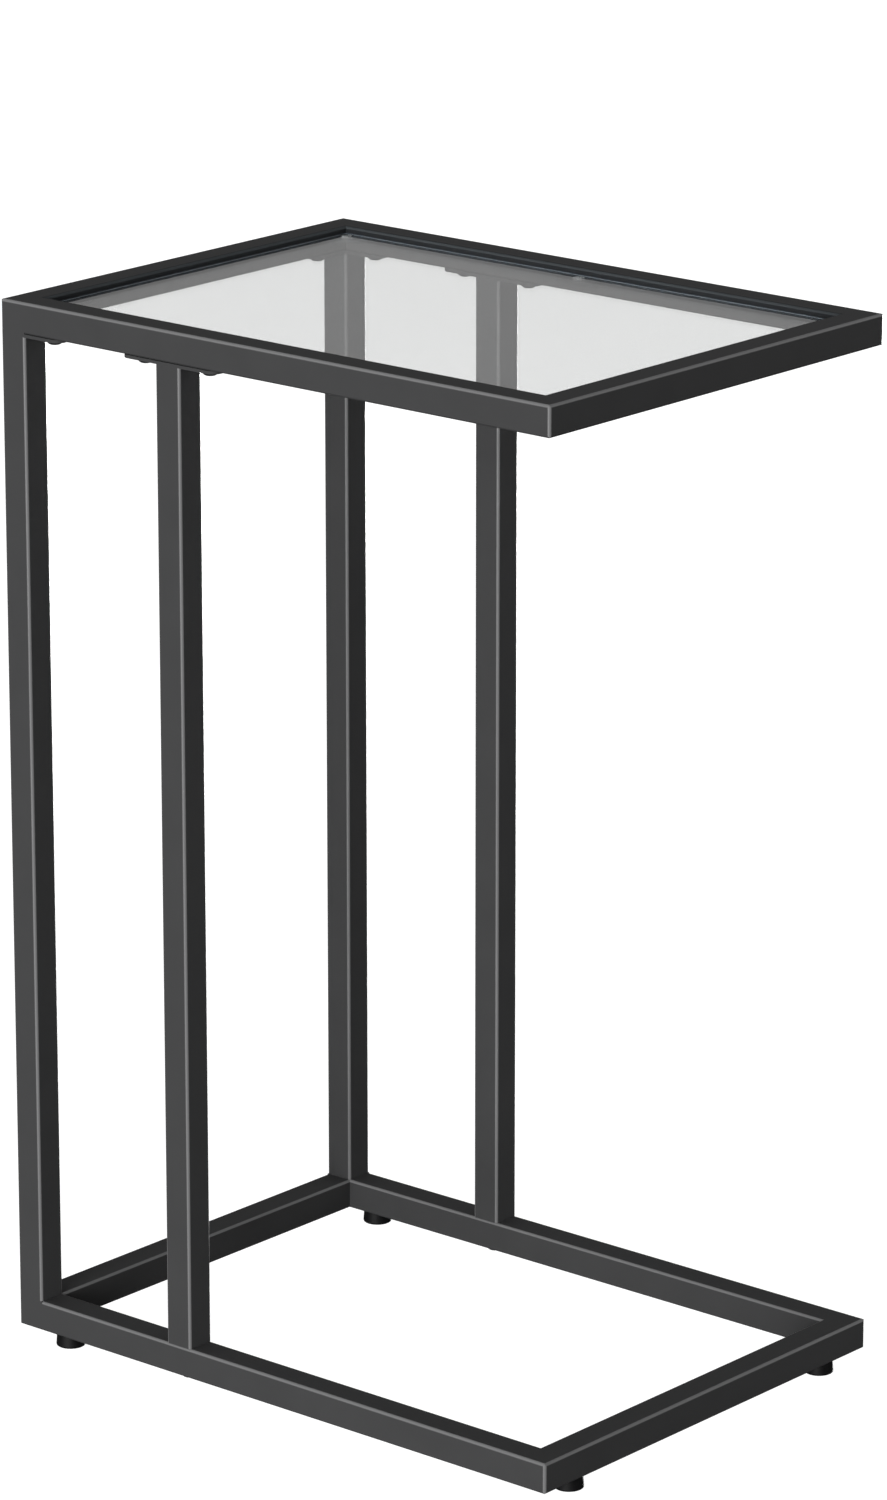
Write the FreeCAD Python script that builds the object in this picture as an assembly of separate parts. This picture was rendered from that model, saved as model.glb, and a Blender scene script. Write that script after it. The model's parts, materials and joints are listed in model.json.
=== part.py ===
# C shaped side table: a welded base with two rear corner legs, two bolted mid legs, and a bolted
# top frame that holds a sheet of clear glass a little below its rim.
# Millimetres. +X runs from the closed rear end to the open front end, and +Z is up.
# Left is -Y and right is +Y. The origin is on the floor, under the middle of the table.
import FreeCAD, Part
import math
import os

os.makedirs("parts", exist_ok=True)
Vec = FreeCAD.Vector
UP = Vec(0, 0, 1)

# Overall size over the outer faces, floor to the rim of the top
length = 440.0
width = 320.0
height = 684.0

# Square steel tube of the frames and the legs
tube = 20.0
wall = 1.2
edge_radius = 2.0

# Mid legs: from the rear outer face to the centre line of the leg
mid_leg_setback = 139.5

# Glass top, let into the top frame
glass_thickness = 5.0
glass_recess = 3.5
glass_side_gap = 1.0
glass_corner_radius = 3.0
glass_arris = 0.6

# Supports under the glass: gussets in the corners, a tab in the middle of each side, pads on all
support_thickness = 2.0
gusset_leg = 18.0
gusset_tip_cut = 1.5
gusset_pad_inset = 6.0
tab_length = 30.0
tab_depth = 12.0
tab_corner_radius = 3.0
pad_diameter = 8.0
pad_thickness = 1.5

# Plates on the upper ends of the legs, measured from the leg's centre line
plate_thickness = 2.0
plate_reach = 38.5
plate_bolt_reach = 26.5
plate_end_radius = 6.0
plate_inner_radius = 3.0

# Button head bolts
bolt_diameter = 6.0
head_diameter = 10.5
head_height = 3.3
head_rim = 0.6
head_bulge = 0.6
crown_diameter = 5.6
socket_flats = 4.0
socket_depth = 2.0
plate_bolt_engagement = 10.0
base_bolt_engagement = 11.0

# Rivet nuts in the undersides of the rails
insert_diameter = 9.0
insert_length = 13.0
collar_diameter = 12.0
collar_height = 2.0

# Threaded plugs in the lower ends of the mid legs
plug_length = 14.0
plug_chamfer = 1.5

# Screw-in feet
foot_diameter = 19.0
foot_top_diameter = 18.0
foot_height = 8.0
foot_edge_radius = 1.2
foot_rear_setback = 36.0
foot_front_inset = 35.0
foot_travel = 6.0
stud_engagement = 8.0
anchor_diameter = 11.0
anchor_thickness = 2.0
anchor_lift = 2.5

# Clearances, all on the radius or on one side
bolt_hole_clearance = 0.3
thread_clearance = 0.05
insert_clearance = 0.05
plug_clearance = 0.1
moulding_clearance = 0.05

# Cutting tools stand this far past what they cut
margin = 2.0
tiny = 0.001

# Places that follow from the sizes above
inner_radius = max(edge_radius - wall, edge_radius / 10)
base_low = foot_height
base_high = base_low + tube
top_low = height - tube
plate_low = top_low - plate_thickness
glass_high = height - glass_recess
glass_low = glass_high - glass_thickness
support_high = glass_low - pad_thickness
support_low = support_high - support_thickness
side_centre = width / 2 - tube / 2
end_centre = length / 2 - tube / 2
side_inner = width / 2 - tube
end_inner = length / 2 - tube
mid_leg_x = mid_leg_setback - length / 2
sides = {"left": -1, "right": 1}
ends = {"rear": -1, "front": 1}


def save(name, *solids):
    """Write one node: a single solid, or a group of like solids."""
    shape = solids[0] if len(solids) == 1 else Part.makeCompound(solids)
    shape.exportStep("parts/" + name + ".step")


def block(low, high):
    """Box between two corners, given in any order."""
    corner = Vec(*[min(a, b) for a, b in zip(low, high)])
    size = [abs(a - b) for a, b in zip(low, high)]
    return Part.makeBox(*size, corner)


def prism(points, low, high):
    """Upright prism over the XY points, from one height to another."""
    ring = [Vec(x, y, low) for x, y in points]
    face = Part.Face(Part.makePolygon(ring + ring[:1]))
    return face.extrude(UP * (high - low))


def rod(x, y, low, high, diameter):
    """Upright round rod."""
    return Part.makeCylinder(diameter / 2, high - low, Vec(x, y, low))


def rounded_outline(size, radius):
    """Square wire in the XY plane, centred on the origin, with round corners."""
    reach = size / 2 - radius
    arcs = []
    for quarter, (sx, sy) in enumerate([(1, 1), (-1, 1), (-1, -1), (1, -1)]):
        start = 90 * quarter
        arcs.append(Part.makeCircle(radius, Vec(sx * reach, sy * reach, 0), UP, start, start + 90))
    edges = []
    for arc, following in zip(arcs, arcs[1:] + arcs[:1]):
        line_start = arc.valueAt(arc.LastParameter)
        line_end = following.valueAt(following.FirstParameter)
        edges.append(arc)
        edges.append(Part.makeLine(line_start, line_end))
    return Part.Wire(edges)


def tube_length(size):
    """Length of the square tube, upright on the origin."""
    outer = Part.Face(rounded_outline(tube, edge_radius)).extrude(UP * size)
    bore = Part.Face(rounded_outline(tube - 2 * wall, inner_radius)).extrude(UP * size)
    return outer.cut(bore)


def round_uprights(solid, points, radius):
    """Round the upright edges of a plate that pass through the given XY points."""
    chosen = []
    for edge in solid.Edges:
        first = edge.Vertexes[0].Point
        last = edge.Vertexes[-1].Point
        upright = math.hypot(first.x - last.x, first.y - last.y) < tiny
        if upright and any(math.hypot(first.x - x, first.y - y) < tiny for x, y in points):
            chosen.append(edge)
    return solid.makeFillet(radius, chosen)


def corner_cutter(end, side, low, high):
    """What rounding the outer upright corner of the frame takes away."""
    x = end * length / 2
    y = side * width / 2
    waste = block(
        (x + end * margin, y + side * margin, low - margin),
        (x - end * edge_radius, y - side * edge_radius, high + margin),
    )
    keep = rod(
        x - end * edge_radius,
        y - side * edge_radius,
        low - 2 * margin,
        high + 2 * margin,
        2 * edge_radius,
    )
    return waste.cut(keep)


def weld_dressing(side, seam, inward):
    """Square fill along the seams of a rear corner leg, where the weld is dressed flush."""
    x = -length / 2
    y = side * width / 2
    along_side = block((x, y, seam), (x + tube, y - side * edge_radius, seam + inward * edge_radius))
    along_end = block((x, y, seam), (x + edge_radius, y - side * tube, seam + inward * edge_radius))
    return along_side, along_end


def side_rail(side, low, seam, inward):
    """Left or right rail of a frame, mitred at both ends."""
    bar = tube_length(length)
    bar.rotate(Vec(0, 0, 0), Vec(0, 1, 0), 90)
    bar.translate(Vec(-length / 2, side * side_centre, low + tube / 2))
    bar = bar.fuse(weld_dressing(side, seam, inward)[0])
    long_half = length / 2 + margin
    short_half = end_inner - margin
    outer = side * (width / 2 + margin)
    inner = side * (side_inner - margin)
    plan = [(-long_half, outer), (long_half, outer), (short_half, inner), (-short_half, inner)]
    bar = bar.common(prism(plan, low - margin, low + tube + margin))
    for end in ends.values():
        bar = bar.cut(corner_cutter(end, side, low, low + tube))
    return bar.removeSplitter()


def end_rail(end, low, seam, inward):
    """Rear or front rail of a frame, mitred at both ends."""
    bar = tube_length(width)
    bar.rotate(Vec(0, 0, 0), Vec(1, 0, 0), -90)
    bar.translate(Vec(end * end_centre, -width / 2, low + tube / 2))
    if end == ends["rear"]:
        for side in sides.values():
            bar = bar.fuse(weld_dressing(side, seam, inward)[1])
    long_half = width / 2 + margin
    short_half = side_inner - margin
    outer = end * (length / 2 + margin)
    inner = end * (end_inner - margin)
    plan = [(outer, -long_half), (outer, long_half), (inner, short_half), (inner, -short_half)]
    bar = bar.common(prism(plan, low - margin, low + tube + margin))
    for side in sides.values():
        bar = bar.cut(corner_cutter(end, side, low, low + tube))
    return bar.removeSplitter()


def bolt(x, y, seat, grip):
    """Button head bolt that points up, with the flat of its head against the seat."""
    rim = head_diameter / 2
    crown = crown_diameter / 2
    low_rim = Vec(rim, 0, -head_rim)
    low_crown = Vec(crown, 0, -head_height)
    slope = (low_crown - low_rim).normalize()
    bulge = (low_rim + low_crown) * 0.5 + Vec(-slope.z, 0, slope.x) * head_bulge
    profile = [
        Part.makeLine(Vec(0, 0, 0), Vec(rim, 0, 0)),
        Part.makeLine(Vec(rim, 0, 0), low_rim),
        Part.Arc(low_rim, bulge, low_crown).toShape(),
        Part.makeLine(low_crown, Vec(0, 0, -head_height)),
        Part.makeLine(Vec(0, 0, -head_height), Vec(0, 0, 0)),
    ]
    head = Part.Face(Part.Wire(profile)).revolve(Vec(0, 0, 0), UP, 360)
    corner = socket_flats / math.sqrt(3)
    turns = [math.radians(60 * k) for k in range(6)]
    hexagon = [(corner * math.cos(turn), corner * math.sin(turn)) for turn in turns]
    head = head.cut(prism(hexagon, -head_height - margin, -head_height + socket_depth))
    solid = head.fuse(rod(0, 0, 0, grip, bolt_diameter)).removeSplitter()
    solid.translate(Vec(x, y, seat))
    return solid


def insert(x, y, face):
    """Rivet nut set flush in the underside of a rail, with its collar on the inside of the wall."""
    solid = rod(x, y, face, face + insert_length, insert_diameter)
    collar_low = face + wall
    solid = solid.fuse(rod(x, y, collar_low, collar_low + collar_height, collar_diameter))
    bore = bolt_diameter + 2 * thread_clearance
    return solid.cut(rod(x, y, face - margin, face + insert_length + margin, bore)).removeSplitter()


def insert_hole(x, y, face):
    """Hole for a rivet nut through the lower wall of a rail."""
    return rod(x, y, face - margin, face + wall + margin, insert_diameter + 2 * insert_clearance)


def bolt_hole(x, y, low, high):
    """Clearance hole for a bolt."""
    return rod(x, y, low - margin, high + margin, bolt_diameter + 2 * bolt_hole_clearance)


def corner_bolt_places(side):
    """Plate bolts of a rear corner leg: one along the side rail, one along the rear rail."""
    x = -end_centre
    y = side * side_centre
    return (x + plate_bolt_reach, y), (x, y - side * plate_bolt_reach)


def mid_bolt_places(side):
    """Plate bolts of a mid leg, one each way along the side rail."""
    y = side * side_centre
    return (mid_leg_x - plate_bolt_reach, y), (mid_leg_x + plate_bolt_reach, y)


def side_foot_place(side):
    """Rear foot, under a side rail."""
    return foot_rear_setback - length / 2, side * side_centre


def front_foot_place(side):
    """Front foot, under the front rail."""
    return end_centre, side * (width / 2 - foot_front_inset)


def corner_plate(side):
    """L shaped plate of a rear corner leg, with one arm under each rail."""
    x = -length / 2
    y = side * width / 2
    arm = tube / 2 + plate_reach
    inner_x = x + tube
    inner_y = y - side * tube
    arm_x = x + arm
    arm_y = y - side * arm
    plan = [(x, y), (arm_x, y), (arm_x, inner_y), (inner_x, inner_y), (inner_x, arm_y), (x, arm_y)]
    plate = prism(plan, plate_low, top_low)
    arm_tips = plan[1:3] + plan[4:]
    plate = round_uprights(plate, arm_tips, plate_end_radius)
    plate = round_uprights(plate, plan[3:4], plate_inner_radius)
    plate = round_uprights(plate, plan[:1], edge_radius)
    for place in corner_bolt_places(side):
        plate = plate.cut(bolt_hole(*place, plate_low, top_low))
    return plate


def mid_plate(side):
    """Straight plate of a mid leg, under the side rail."""
    low_x = mid_leg_x - plate_reach
    high_x = mid_leg_x + plate_reach
    outer = side * width / 2
    inner = side * side_inner
    plan = [(low_x, outer), (high_x, outer), (high_x, inner), (low_x, inner)]
    plate = round_uprights(prism(plan, plate_low, top_low), plan, plate_end_radius)
    for place in mid_bolt_places(side):
        plate = plate.cut(bolt_hole(*place, plate_low, top_low))
    return plate


def leg(x, y):
    """Leg tube, from the base rail up to its plate."""
    solid = tube_length(plate_low - base_high)
    solid.translate(Vec(x, y, base_high))
    return solid


def leg_plug(side):
    """Threaded plug in the lower end of a mid leg."""
    size = tube - 2 * wall - 2 * plug_clearance
    y = side * side_centre
    plug = block(
        (mid_leg_x - size / 2, y - size / 2, base_high),
        (mid_leg_x + size / 2, y + size / 2, base_high + plug_length),
    )
    uprights = [edge for edge in plug.Edges if abs(edge.Vertexes[0].Z - edge.Vertexes[1].Z) > tiny]
    plug = plug.makeChamfer(plug_chamfer, uprights)
    bore = bolt_diameter + 2 * thread_clearance
    return plug.cut(rod(mid_leg_x, y, base_high - margin, base_high + plug_length + margin, bore))


def glass_sheet():
    """Glass sheet with round corners and ground edges."""
    half_x = end_inner - glass_side_gap
    half_y = side_inner - glass_side_gap
    plan = [(-half_x, -half_y), (half_x, -half_y), (half_x, half_y), (-half_x, half_y)]
    sheet = round_uprights(prism(plan, glass_low, glass_high), plan, glass_corner_radius)
    edges = [edge for edge in sheet.Edges if abs(edge.Vertexes[0].Z - edge.Vertexes[-1].Z) < tiny]
    return sheet.makeChamfer(glass_arris, edges)


def gusset(end, side):
    """Three cornered support welded into a corner of the top frame."""
    x = end * end_inner
    y = side * side_inner
    plan = [
        (x - end * gusset_tip_cut, y),
        (x - end * gusset_leg, y),
        (x, y - side * gusset_leg),
        (x, y - side * gusset_tip_cut),
    ]
    return prism(plan, support_low, support_high)


def glass_tab(side):
    """Tab welded to the middle of a side rail."""
    half = tab_length / 2
    inner = side * side_inner
    tip = side * (side_inner - tab_depth)
    plan = [(-half, inner), (half, inner), (half, tip), (-half, tip)]
    return round_uprights(prism(plan, support_low, support_high), plan[2:], tab_corner_radius)


def glass_pad(x, y):
    """Clear pad between a support and the glass."""
    return rod(x, y, support_high, glass_low, pad_diameter)


def stud(x, y, growth):
    """Threaded stud of a foot with the round anchor at its lower end."""
    tip = foot_height + foot_travel + stud_engagement
    shank = rod(x, y, anchor_lift, tip, bolt_diameter + 2 * growth)
    low = anchor_lift - growth
    high = anchor_lift + anchor_thickness + growth
    return shank.fuse(rod(x, y, low, high, anchor_diameter + 2 * growth)).removeSplitter()


def foot(x, y):
    """Round plastic foot, moulded round the anchor of its stud."""
    wide = foot_diameter / 2
    narrow = foot_top_diameter / 2
    round_start = Vec(wide - foot_edge_radius, 0, 0)
    round_end = Vec(wide, 0, foot_edge_radius)
    round_centre = Vec(wide - foot_edge_radius, 0, foot_edge_radius)
    lean = math.radians(45)
    round_middle = round_centre + Vec(math.sin(lean), 0, -math.cos(lean)) * foot_edge_radius
    profile = [
        Part.makeLine(Vec(0, 0, 0), round_start),
        Part.Arc(round_start, round_middle, round_end).toShape(),
        Part.makeLine(round_end, Vec(narrow, 0, foot_height)),
        Part.makeLine(Vec(narrow, 0, foot_height), Vec(0, 0, foot_height)),
        Part.makeLine(Vec(0, 0, foot_height), Vec(0, 0, 0)),
    ]
    solid = Part.Face(Part.Wire(profile)).revolve(Vec(0, 0, 0), UP, 360)
    solid.translate(Vec(x, y, 0))
    return solid.cut(stud(x, y, moulding_clearance))


# Top frame
plate_bolt_places = []
for side in sides.values():
    plate_bolt_places.extend(corner_bolt_places(side))
    plate_bolt_places.extend(mid_bolt_places(side))
top_holes = Part.makeCompound([insert_hole(x, y, top_low) for x, y in plate_bolt_places])
for name, side in sides.items():
    save("top_rail_" + name, side_rail(side, top_low, top_low, 1).cut(top_holes))
for name, end in ends.items():
    save("top_rail_" + name, end_rail(end, top_low, top_low, 1).cut(top_holes))
save("top_rail_rivet_nuts", *[insert(x, y, top_low) for x, y in plate_bolt_places])

# Glass and its supports
save("glass_top", glass_sheet())
pads = []
for side_name, side in sides.items():
    for end_name, end in ends.items():
        save("glass_gusset_" + side_name + "_" + end_name, gusset(end, side))
        pad_x = end * (end_inner - gusset_pad_inset)
        pad_y = side * (side_inner - gusset_pad_inset)
        pads.append(glass_pad(pad_x, pad_y))
    save("glass_tab_" + side_name, glass_tab(side))
    pads.append(glass_pad(0, side * (side_inner - tab_depth / 2)))
save("glass_pads", *pads)

# Legs with their plates
for name, side in sides.items():
    save("rear_leg_" + name, leg(-end_centre, side * side_centre))
    save("rear_leg_plate_" + name, corner_plate(side))
    save("mid_leg_" + name, leg(mid_leg_x, side * side_centre))
    save("mid_leg_plate_" + name, mid_plate(side))
    save("mid_leg_plug_" + name, leg_plug(side))
plate_grip = plate_thickness + plate_bolt_engagement
save("leg_plate_bolts", *[bolt(x, y, plate_low, plate_grip) for x, y in plate_bolt_places])

# Base frame
mid_leg_places = [(mid_leg_x, side * side_centre) for side in sides.values()]
foot_places = {}
for name, side in sides.items():
    foot_places["rear_" + name] = side_foot_place(side)
    foot_places["front_" + name] = front_foot_place(side)
base_holes = [bolt_hole(x, y, base_low, base_high) for x, y in mid_leg_places]
base_holes.extend(insert_hole(x, y, base_low) for x, y in foot_places.values())
base_holes = Part.makeCompound(base_holes)
for name, side in sides.items():
    save("base_rail_" + name, side_rail(side, base_low, base_high, -1).cut(base_holes))
for name, end in ends.items():
    save("base_rail_" + name, end_rail(end, base_low, base_high, -1).cut(base_holes))
base_grip = tube + base_bolt_engagement
save("base_bolts", *[bolt(x, y, base_low, base_grip) for x, y in mid_leg_places])

# Feet
save("foot_rivet_nuts", *[insert(x, y, base_low) for x, y in foot_places.values()])
for name, (x, y) in foot_places.items():
    save("foot_" + name, foot(x, y))
    save("foot_stud_" + name, stud(x, y, 0))
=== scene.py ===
# Looks of the C shaped side table: finishes, screw threads, weld beads, pads, floor, light and camera.
# Metres, in the same frame as the solids: +X to the open front end, left is -Y, +Z is up.
import json
import math

import bmesh
import bpy
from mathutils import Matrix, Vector


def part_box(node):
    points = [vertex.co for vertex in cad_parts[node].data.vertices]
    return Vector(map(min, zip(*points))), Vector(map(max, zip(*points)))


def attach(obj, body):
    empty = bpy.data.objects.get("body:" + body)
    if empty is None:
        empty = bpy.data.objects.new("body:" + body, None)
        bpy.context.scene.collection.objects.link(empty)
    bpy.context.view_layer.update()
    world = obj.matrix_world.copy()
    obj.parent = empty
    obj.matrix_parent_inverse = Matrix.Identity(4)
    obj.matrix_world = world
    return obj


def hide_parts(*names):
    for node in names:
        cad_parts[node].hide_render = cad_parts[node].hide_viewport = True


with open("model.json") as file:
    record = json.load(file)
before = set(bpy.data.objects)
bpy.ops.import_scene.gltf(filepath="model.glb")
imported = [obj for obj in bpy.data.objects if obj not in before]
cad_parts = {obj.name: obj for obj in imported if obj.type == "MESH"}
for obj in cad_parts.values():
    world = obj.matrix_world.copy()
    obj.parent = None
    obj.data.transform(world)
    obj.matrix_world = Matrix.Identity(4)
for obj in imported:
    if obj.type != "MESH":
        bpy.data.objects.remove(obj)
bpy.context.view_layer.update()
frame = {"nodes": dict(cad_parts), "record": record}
scene = bpy.context.scene
mm = 0.001

# Camera, from the photo's viewing angle, with the length of its lens in the photo's pixels
photo_width = 887
photo_height = 1500
camera_azimuth = 40.51
camera_elevation = 16.33
camera_target = Vector((0.0, 0.0033, 0.3991))
camera_distance = 4.186
focal_pixels = 6686.0
sensor_size = 36.0

# Threads of the studs, with the flats and flanks of the profile as shares of the pitch
thread_pitch = 1.0 * mm
thread_radius_crest = 2.98 * mm
thread_radius_root = 2.40 * mm
thread_root_half = 0.125
thread_flank = 0.3125
thread_tip_cut = 0.2 * mm
thread_steps = 8
thread_sides = 28
anchor_thickness = 2.0 * mm
anchor_sides = 32

# Pads under the glass
pad_pinch = 0.35 * mm
pad_reach = 12.0 * mm
pad_rows = 8
pad_sides = 40

# Weld beads
bead_size = 1.6 * mm
bead_inset = 2.6 * mm
bead_end = 1.5 * mm
bead_tip = 0.02 * mm
bead_step = 0.3 * mm
bead_pitch = 1.2 * mm
bead_ripple = 0.09
bead_swirl = 0.3
bead_sides = 6

# Edges of the pieces made here are sharp from this angle up
sharp_angle = 50.0

# Colours
white = (1.0, 1.0, 1.0)
coat_dark = (0.0178, 0.0179, 0.0183)
coat_light = (0.0202, 0.0203, 0.0207)
# Painted highlight on the rounded edges of the coat
coat_edge_highlight = (0.074, 0.074, 0.075)
# Painted shade in the recess round the glass, a little lighter on the rounded edges there
coat_recess_shade = (0.0042, 0.0049, 0.0058)
coat_recess_shade_edge = (0.0180, 0.0207, 0.0226)
glass_tint = (0.915, 0.926, 0.922)
# Painted shade on the ground edges of the glass, and a painted highlight on their chamfers
glass_edge_shade = (0.022, 0.028, 0.034)
glass_bevel_highlight = (0.19, 0.214, 0.238)
bolt_dark = (0.0035, 0.0035, 0.004)
bolt_light = (0.007, 0.007, 0.008)
zinc_dark = (0.50, 0.51, 0.54)
zinc_light = (0.66, 0.67, 0.69)
foot_dark = (0.0014, 0.0014, 0.0015)
foot_light = (0.0024, 0.0024, 0.0026)
pad_tint = (0.93, 0.95, 0.96)
floor_grey = (0.25, 0.25, 0.25)

# Most of a noise's values lie between these
noise_low = 0.25
noise_high = 0.75

# Painted highlight along the rounded edges of the coat: how far an edge turns before it counts, where
# undersides begin, and the lower roughness on the edges
edge_turn = 0.08
underside_begins = -0.05
underside_full = -0.30
edge_gloss = -0.45

# Painted shade in the recess round the glass, outward and downward from the sheet
recess_rim = 3.2 * mm
recess_depth = 6.0 * mm

# Upright part of the direction that a face of the glass has: polished, ground, bevelled or upright
polished_level = 0.99
ground_level = 0.90
bevel_level = 0.65
upright_level = 0.50
ground_roughness = 0.6

# Light: where each soft sun stands, how strong it is and how wide it looks
suns = {
    "key": {"azimuth": 15.0, "elevation": 6.0, "strength": 7.9, "spread": 40.0},
    "side": {"azimuth": -50.0, "elevation": 32.0, "strength": 0.5, "spread": 40.0},
    "rim": {"azimuth": 145.0, "elevation": 25.0, "strength": 0.6, "spread": 40.0},
    "back": {"azimuth": 196.0, "elevation": -8.0, "strength": 8.0, "spread": 12.0},
}
sun_distance = 6.0
room_level = 0.37
room_overhead = 0.44
room_below = 0.08
horizon_low = -0.06
horizon_high = 0.02

# Floor, low enough for the feet when they are screwed out
floor_size = 80.0
floor_level = -6.5 * mm
floor_glow = 0.94


def node_material(name):
    """New material with a Principled shader, as (material, its nodes, its links, the shader)."""
    material = bpy.data.materials.new(name)
    material.use_nodes = True
    nodes = material.node_tree.nodes
    return material, nodes, material.node_tree.links, nodes["Principled BSDF"]


def feed(links, value, socket):
    """Link a socket to a value that varies, or set it to a number or colour that doesn't."""
    if isinstance(value, bpy.types.NodeSocket):
        links.new(value, socket)
    elif isinstance(value, tuple):
        socket.default_value = (*value, 1)
    else:
        socket.default_value = value


def add_math(nodes, links, operation, *values):
    """Sum, product or other operation on values."""
    node = nodes.new("ShaderNodeMath")
    node.operation = operation
    for value, socket in zip(values, node.inputs):
        feed(links, value, socket)
    return node.outputs["Value"]


def add_map(nodes, links, value, start, end, low=0.0, high=1.0, smooth=False):
    """Value that goes from low to high as another goes from start to end."""
    node = nodes.new("ShaderNodeMapRange")
    if smooth:
        node.interpolation_type = "SMOOTHSTEP"
    feed(links, value, node.inputs["Value"])
    feed(links, start, node.inputs["From Min"])
    feed(links, end, node.inputs["From Max"])
    feed(links, low, node.inputs["To Min"])
    feed(links, high, node.inputs["To Max"])
    return node.outputs["Result"]


def add_mix(nodes, links, factor, first, second):
    """Colour between two colours."""
    mix = nodes.new("ShaderNodeMix")
    mix.data_type = "RGBA"
    feed(links, factor, mix.inputs["Factor"])
    feed(links, first, mix.inputs["A"])
    feed(links, second, mix.inputs["B"])
    return mix.outputs["Result"]


def add_parts(nodes, links, kind):
    """X, Y and Z of the place on a piece, or of the direction that its surface faces."""
    place = nodes.new("ShaderNodeTexCoord")
    split = nodes.new("ShaderNodeSeparateXYZ")
    links.new(place.outputs[kind], split.inputs["Vector"])
    return split.outputs


def add_noise(nodes, links, scale, detail):
    """Noise that rides with its piece."""
    place = nodes.new("ShaderNodeTexCoord")
    noise = nodes.new("ShaderNodeTexNoise")
    noise.inputs["Scale"].default_value = scale
    noise.inputs["Detail"].default_value = detail
    links.new(place.outputs["Object"], noise.inputs["Vector"])
    return noise.outputs["Fac"]


def add_range(nodes, links, noise, low, high):
    """Noise spread over a new range."""
    return add_map(nodes, links, noise, noise_low, noise_high, low, high)


def add_tint(nodes, links, noise, dark, light):
    """Noise as a colour between two colours."""
    return add_mix(nodes, links, add_range(nodes, links, noise, 0.0, 1.0), dark, light)


def add_bump(nodes, links, height, depth, strength):
    """Bump of a real depth in metres."""
    bump = nodes.new("ShaderNodeBump")
    bump.inputs["Distance"].default_value = depth
    bump.inputs["Strength"].default_value = strength
    links.new(height, bump.inputs["Height"])
    return bump.outputs["Normal"]


def add_edge_highlight_mask(nodes, links):
    """Mask of the painted highlight: one on rounded edges, nothing on flat faces and on faces turned
    down, as under the rails.
    """
    facing = add_parts(nodes, links, "Normal")
    x, y, z = [add_math(nodes, links, "ABSOLUTE", facing[axis]) for axis in "XYZ"]
    across = add_math(nodes, links, "MAXIMUM", x, y)
    flat = add_math(nodes, links, "MAXIMUM", across, z)
    edge = add_map(nodes, links, flat, 1.0, 1.0 - edge_turn, smooth=True)
    return add_map(nodes, links, facing["Z"], underside_full, underside_begins, 0.0, edge)


def add_recess_shade_mask(nodes, links):
    """Mask of painted shade: one inside the top frame, from the rounded inner edges of its rails down,
    and nothing elsewhere.
    """
    low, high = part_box("glass_top")
    place = add_parts(nodes, links, "Object")
    x, y, z = [add_math(nodes, links, "ABSOLUTE", place[axis]) for axis in "XYZ"]
    inside_x = add_math(nodes, links, "LESS_THAN", x, high.x + recess_rim)
    inside_y = add_math(nodes, links, "LESS_THAN", y, high.y + recess_rim)
    above = add_math(nodes, links, "GREATER_THAN", z, low.z - recess_depth)
    inside = add_math(nodes, links, "MULTIPLY", inside_x, inside_y)
    return add_math(nodes, links, "MULTIPLY", inside, above)


def add_painted_light(nodes, links, colour, dull):
    """Colour and roughness of a coat with a painted highlight along its rounded edges and painted shade
    round the glass.
    """
    recess = add_recess_shade_mask(nodes, links)
    outside = add_map(nodes, links, recess, 0.0, 1.0, 1.0, 0.0)
    edges = add_edge_highlight_mask(nodes, links)
    painted_light = add_math(nodes, links, "MULTIPLY", edges, outside)
    # Painted highlight on rounded edges outside the recess
    highlit_colour = add_mix(nodes, links, painted_light, colour, coat_edge_highlight)
    # Painted shade in the recess round the glass
    shaded_colour = add_mix(nodes, links, edges, coat_recess_shade, coat_recess_shade_edge)
    gloss = add_math(nodes, links, "MULTIPLY_ADD", painted_light, edge_gloss, dull)
    return add_mix(nodes, links, recess, highlit_colour, shaded_colour), gloss


def powder_coat(name, painted_light):
    """Satin black powder coat with a fine orange peel, with or without a painted highlight on its edges
    and painted shade round the glass.
    """
    material, nodes, links, shader = node_material(name)
    cloud = add_noise(nodes, links, scale=35.0, detail=3.0)
    grain = add_noise(nodes, links, scale=1300.0, detail=2.0)
    colour = add_tint(nodes, links, cloud, coat_dark, coat_light)
    dull = add_range(nodes, links, cloud, low=0.80, high=0.86)
    if painted_light:
        colour, dull = add_painted_light(nodes, links, colour, dull)
    links.new(colour, shader.inputs["Base Color"])
    links.new(dull, shader.inputs["Roughness"])
    shader.inputs["Specular IOR Level"].default_value = 0.15
    links.new(add_bump(nodes, links, grain, depth=0.02 * mm, strength=0.5), shader.inputs["Normal"])
    return material


def clear_glass():
    """Polished clear glass, its ground edges dull, dark and closed to the light: painted shade on the
    ground edges and a painted highlight on their chamfers.
    """
    material, nodes, links, shader = node_material("clear_glass_finish")
    shader.inputs["Transmission Weight"].default_value = 1.0
    shader.inputs["IOR"].default_value = 1.5
    level = add_math(nodes, links, "ABSOLUTE", add_parts(nodes, links, "Normal")["Z"])
    ground = add_map(nodes, links, level, polished_level, ground_level)
    bevel = add_map(nodes, links, level, upright_level, bevel_level)
    # Painted shade on the ground edges, painted highlight on the chamfers
    edge = add_mix(nodes, links, bevel, glass_edge_shade, glass_bevel_highlight)
    smear = add_range(nodes, links, add_noise(nodes, links, scale=18.0, detail=4.0), low=0.0, high=0.012)
    dull = add_map(nodes, links, ground, 0.0, 1.0, smear, ground_roughness)
    links.new(ground, shader.inputs["Metallic"])
    links.new(add_mix(nodes, links, ground, glass_tint, edge), shader.inputs["Base Color"])
    links.new(dull, shader.inputs["Roughness"])
    return material


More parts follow.
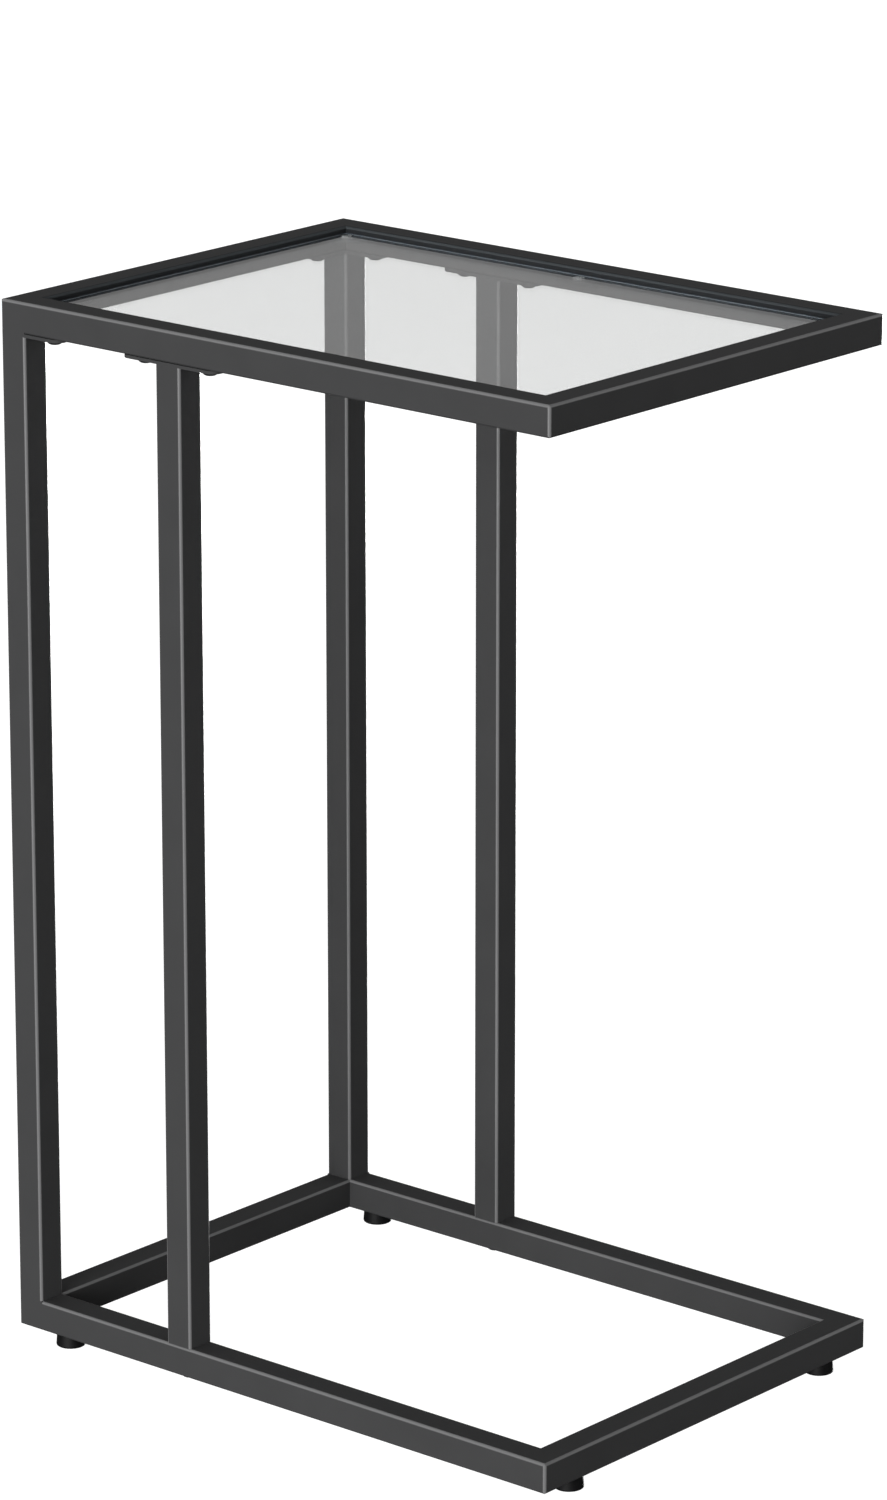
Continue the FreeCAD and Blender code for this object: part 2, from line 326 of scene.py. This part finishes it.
def black_bolt():
    """Black oxide steel."""
    material, nodes, links, shader = node_material("black_bolt_finish")
    cloud = add_noise(nodes, links, scale=300.0, detail=3.0)
    links.new(add_tint(nodes, links, cloud, bolt_dark, bolt_light), shader.inputs["Base Color"])
    shader.inputs["Specular IOR Level"].default_value = 0.3
    links.new(add_range(nodes, links, cloud, low=0.28, high=0.38), shader.inputs["Roughness"])
    return material


def zinc_steel():
    """Bright zinc plated steel."""
    material, nodes, links, shader = node_material("zinc_steel_finish")
    shader.inputs["Metallic"].default_value = 1.0
    cloud = add_noise(nodes, links, scale=400.0, detail=3.0)
    links.new(add_tint(nodes, links, cloud, zinc_dark, zinc_light), shader.inputs["Base Color"])
    links.new(add_range(nodes, links, cloud, low=0.24, high=0.36), shader.inputs["Roughness"])
    return material


def foot_plastic():
    """Moulded black plastic with a fine grain."""
    material, nodes, links, shader = node_material("foot_plastic_finish")
    cloud = add_noise(nodes, links, scale=250.0, detail=3.0)
    grain = add_noise(nodes, links, scale=2500.0, detail=2.0)
    links.new(add_tint(nodes, links, cloud, foot_dark, foot_light), shader.inputs["Base Color"])
    shader.inputs["Specular IOR Level"].default_value = 0.08
    links.new(add_range(nodes, links, cloud, low=0.52, high=0.62), shader.inputs["Roughness"])
    links.new(add_bump(nodes, links, grain, depth=0.01 * mm, strength=0.5), shader.inputs["Normal"])
    return material


def clear_pad():
    """Clear soft pad."""
    material, nodes, links, shader = node_material("clear_pad_finish")
    shader.inputs["Transmission Weight"].default_value = 0.9
    shader.inputs["IOR"].default_value = 1.45
    shader.inputs["Base Color"].default_value = (*pad_tint, 1)
    cloud = add_noise(nodes, links, scale=500.0, detail=2.0)
    links.new(add_range(nodes, links, cloud, low=0.12, high=0.22), shader.inputs["Roughness"])
    return material


finishes = {
    "powder_coat": powder_coat("powder_coat_finish", True),
    "clear_glass": clear_glass(),
    "black_bolt": black_bolt(),
    "zinc_steel": zinc_steel(),
    "foot_plastic": foot_plastic(),
    "clear_pad": clear_pad(),
}

# The plates under the top rails get the coat without the painted edge highlight and the painted shade
# round the glass
plain_coat = powder_coat("hidden_coat_finish", False)
for row in frame["record"]["subparts"]:
    node = frame["nodes"][row["node"]]
    for slot in node.material_slots:
        slot.material = plain_coat if "_leg_plate_" in row["node"] else finishes[row["material_slot"]]

# Clear glass lets the light of the suns through
frame["nodes"]["glass_top"].visible_shadow = False


def new_piece(name, mesh_data, body, slot):
    """Finished mesh as a piece that moves with its body and wears the finish of its slot."""
    mesh = bpy.data.meshes.new(name)
    mesh_data.to_mesh(mesh)
    mesh_data.free()
    mesh.shade_smooth()
    mesh.set_sharp_from_angle(angle=math.radians(sharp_angle))
    mesh.materials.append(finishes[slot])
    piece = bpy.data.objects.new(name, mesh)
    scene.collection.objects.link(piece)
    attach(piece, body)
    return piece


def add_rows(mesh_data, rows):
    """Skin over closed rows of points, with both ends filled in."""
    made = [[mesh_data.verts.new(point) for point in row] for row in rows]
    count = len(made[0])
    for low, high in zip(made, made[1:]):
        for i in range(count):
            j = (i + 1) % count
            mesh_data.faces.new((low[i], low[j], high[j], high[i]))
    mesh_data.faces.new(made[0][::-1])
    mesh_data.faces.new(made[-1])


def turned(mesh_data, x, y, rows, sides):
    """Turned shape about an upright line, from heights and a radius that may change round the turn."""
    points = []
    for z, radius in rows:
        row = []
        for i in range(sides):
            turn = i / sides
            angle = math.tau * turn
            row.append((x + radius(turn) * math.cos(angle), y + radius(turn) * math.sin(angle), z))
        points.append(row)
    add_rows(mesh_data, points)


def thread_radius(height, tip):
    """Radius of the thread at a height, as a function of the turn, with a chamfer at its tip."""
    def radius(turn):
        phase = (height / thread_pitch - turn) % 1.0
        flank = (0.5 - abs(phase - 0.5) - thread_root_half) / thread_flank
        full = thread_radius_root + (thread_radius_crest - thread_radius_root) * min(max(flank, 0.0), 1.0)
        return min(full, thread_radius_root - thread_tip_cut + (tip - height))
    return radius


def add_stud(end_side):
    """Threaded stud of a foot, with the round anchor that the foot is moulded on."""
    node = "foot_stud_" + end_side
    low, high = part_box(node)
    x = (low.x + high.x) / 2
    y = (low.y + high.y) / 2
    anchor_radius = (high.x - low.x) / 2
    anchor_top = low.z + anchor_thickness
    mesh_data = bmesh.new()
    turned(mesh_data, x, y, [(z, lambda turn: anchor_radius) for z in (low.z, anchor_top)], anchor_sides)
    steps = round((high.z - anchor_top) / thread_pitch * thread_steps)
    heights = [anchor_top + (high.z - anchor_top) * i / steps for i in range(steps + 1)]
    turned(mesh_data, x, y, [(z, thread_radius(z, high.z)) for z in heights], thread_sides)
    piece = new_piece("threaded_stud_" + end_side, mesh_data, end_side + "_foot", "zinc_steel")
    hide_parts(node)


def clusters(node, reach):
    """Boxes of the separate solids in a CAD node, told apart by their distance."""
    groups = []
    for vertex in frame["nodes"][node].data.vertices:
        near = [group for group in groups if (vertex.co - group[0]).length < reach]
        if near:
            near[0].append(vertex.co)
        else:
            groups.append([vertex.co])
    return [(Vector(map(min, zip(*group))), Vector(map(max, zip(*group)))) for group in groups]


def add_pads():
    """Clear pads under the glass, bulged a little by its weight."""
    mesh_data = bmesh.new()
    for low, high in clusters("glass_pads", pad_reach):
        full = (high.x - low.x) / 2
        rows = []
        for i in range(pad_rows + 1):
            part = i / pad_rows
            size = full - pad_pinch * (1 - math.sin(math.pi * part))
            rows.append((low.z + (high.z - low.z) * part, lambda turn, size=size: size))
        turned(mesh_data, (low.x + high.x) / 2, (low.y + high.y) / 2, rows, pad_sides)
    piece = new_piece("soft_pads", mesh_data, "frame", "clear_pad")
    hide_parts("glass_pads")


def add_bead(mesh_data, start, end, out):
    """Rippled fillet weld in the corner under a level face, along a line from start to end."""
    start, end, out = Vector(start), Vector(end), Vector(out)
    down = Vector((0, 0, -1))
    run = (end - start).length
    steps = round(run / bead_step)
    rows = []
    for i in range(steps + 1):
        along = run * i / steps
        size = bead_size * math.sqrt(max(min(along, run - along, bead_end), bead_tip) / bead_end)
        row = [start + (end - start) * i / steps]
        for k in range(bead_sides + 1):
            turn = math.pi / 2 * k / bead_sides
            wave = along / bead_pitch + bead_swirl * math.sin(2 * turn)
            ripple = 1.0 + bead_ripple * math.sin(math.tau * wave)
            row.append(row[0] + (out * math.cos(turn) + down * math.sin(turn)) * size * ripple)
        rows.append(row)
    add_rows(mesh_data, rows)


def add_welds():
    """Weld beads in corners that are out of sight: under the glass supports and behind the legs."""
    mesh_data = bmesh.new()
    for side, out_y in (("left", 1), ("right", -1)):
        inward = Vector((0, out_y, 0))
        for end, out_x in (("rear", 1), ("front", -1)):
            low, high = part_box("glass_gusset_" + side + "_" + end)
            along = Vector((out_x, 0, 0))
            corner = Vector((low.x if out_x > 0 else high.x, low.y if out_y > 0 else high.y, low.z))
            far = high.x - low.x - bead_inset
            add_bead(mesh_data, corner + along * bead_inset, corner + along * far, inward)
            add_bead(mesh_data, corner + inward * bead_inset, corner + inward * far, along)
        low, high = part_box("glass_tab_" + side)
        y = low.y if out_y > 0 else high.y
        add_bead(mesh_data, (low.x + bead_inset, y, low.z), (high.x - bead_inset, y, low.z), inward)
        low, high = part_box("rear_leg_" + side)
        y = high.y if out_y > 0 else low.y
        add_bead(mesh_data, (low.x + bead_inset, y, high.z), (high.x - bead_inset, y, high.z), inward)
        low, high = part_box("mid_leg_" + side)
        first = (low.x, low.y + bead_inset, high.z)
        last = (low.x, high.y - bead_inset, high.z)
        add_bead(mesh_data, first, last, (-1, 0, 0))
    new_piece("weld_beads", mesh_data, "frame", "powder_coat")


for end_side in ("rear_left", "rear_right", "front_left", "front_right"):
    add_stud(end_side)
add_pads()
add_welds()


def look_back(azimuth, elevation):
    """Unit vector from the object towards a place in the room."""
    a = math.radians(azimuth)
    e = math.radians(elevation)
    return Vector((math.sin(a) * math.cos(e), -math.cos(a) * math.cos(e), math.sin(e)))


def aim(thing, azimuth, elevation, distance):
    """Put a light or the camera round the target, looking at it."""
    back = look_back(azimuth, elevation)
    thing.location = camera_target + back * distance
    thing.rotation_mode = "QUATERNION"
    thing.rotation_quaternion = (-back).to_track_quat("-Z", "Y")


def add_sun(name, azimuth, elevation, strength, spread):
    """Soft even light from far away."""
    data = bpy.data.lights.new(name, "SUN")
    data.energy = strength
    data.angle = math.radians(spread)
    sun = bpy.data.objects.new(name, data)
    scene.collection.objects.link(sun)
    aim(sun, azimuth, elevation, sun_distance)


def add_world():
    """Dim room, a little lighter overhead and dark below, behind a white backdrop."""
    world = bpy.data.worlds.new("studio")
    scene.world = world
    world.use_nodes = True
    nodes = world.node_tree.nodes
    links = world.node_tree.links
    height = add_parts(nodes, links, "Generated")["Z"]
    ceiling = add_map(nodes, links, height, 0.0, 1.0, room_level, room_overhead)
    shade = add_map(nodes, links, height, horizon_low, horizon_high, room_below, ceiling)
    room = nodes["Background"]
    links.new(shade, room.inputs["Color"])
    backdrop = nodes.new("ShaderNodeBackground")
    backdrop.inputs["Color"].default_value = (*white, 1)
    path = nodes.new("ShaderNodeLightPath")
    mix = nodes.new("ShaderNodeMixShader")
    links.new(path.outputs["Is Camera Ray"], mix.inputs["Fac"])
    links.new(room.outputs["Background"], mix.inputs[1])
    links.new(backdrop.outputs["Background"], mix.inputs[2])
    links.new(mix.outputs["Shader"], nodes["World Output"].inputs["Surface"])


def add_floor():
    """Plain pale floor."""
    mesh = bpy.data.meshes.new("floor")
    half = floor_size / 2
    corners = [(-half, -half), (half, -half), (half, half), (-half, half)]
    mesh.from_pydata([(x, y, floor_level) for x, y in corners], [], [(0, 1, 2, 3)])
    floor = bpy.data.objects.new("floor", mesh)
    scene.collection.objects.link(floor)
    material, *_, shader = node_material("floor_finish")
    shader.inputs["Base Color"].default_value = (*floor_grey, 1)
    shader.inputs["Roughness"].default_value = 0.8
    shader.inputs["Specular IOR Level"].default_value = 0.0
    shader.inputs["Emission Color"].default_value = (*white, 1)
    shader.inputs["Emission Strength"].default_value = floor_glow
    mesh.materials.append(material)
    floor.visible_glossy = False
    floor.visible_diffuse = False
    floor.visible_shadow = False


def add_camera():
    """Camera at the photo's viewing angle."""
    data = bpy.data.cameras.new("camera")
    data.sensor_width = sensor_size
    data.lens = focal_pixels * sensor_size / max(photo_width, photo_height)
    camera = bpy.data.objects.new("camera", data)
    scene.collection.objects.link(camera)
    aim(camera, camera_azimuth, camera_elevation, camera_distance)
    scene.camera = camera


add_camera()
add_world()
add_floor()
for name, sun in suns.items():
    add_sun(name, **sun)
scene.view_settings.view_transform = "Standard"
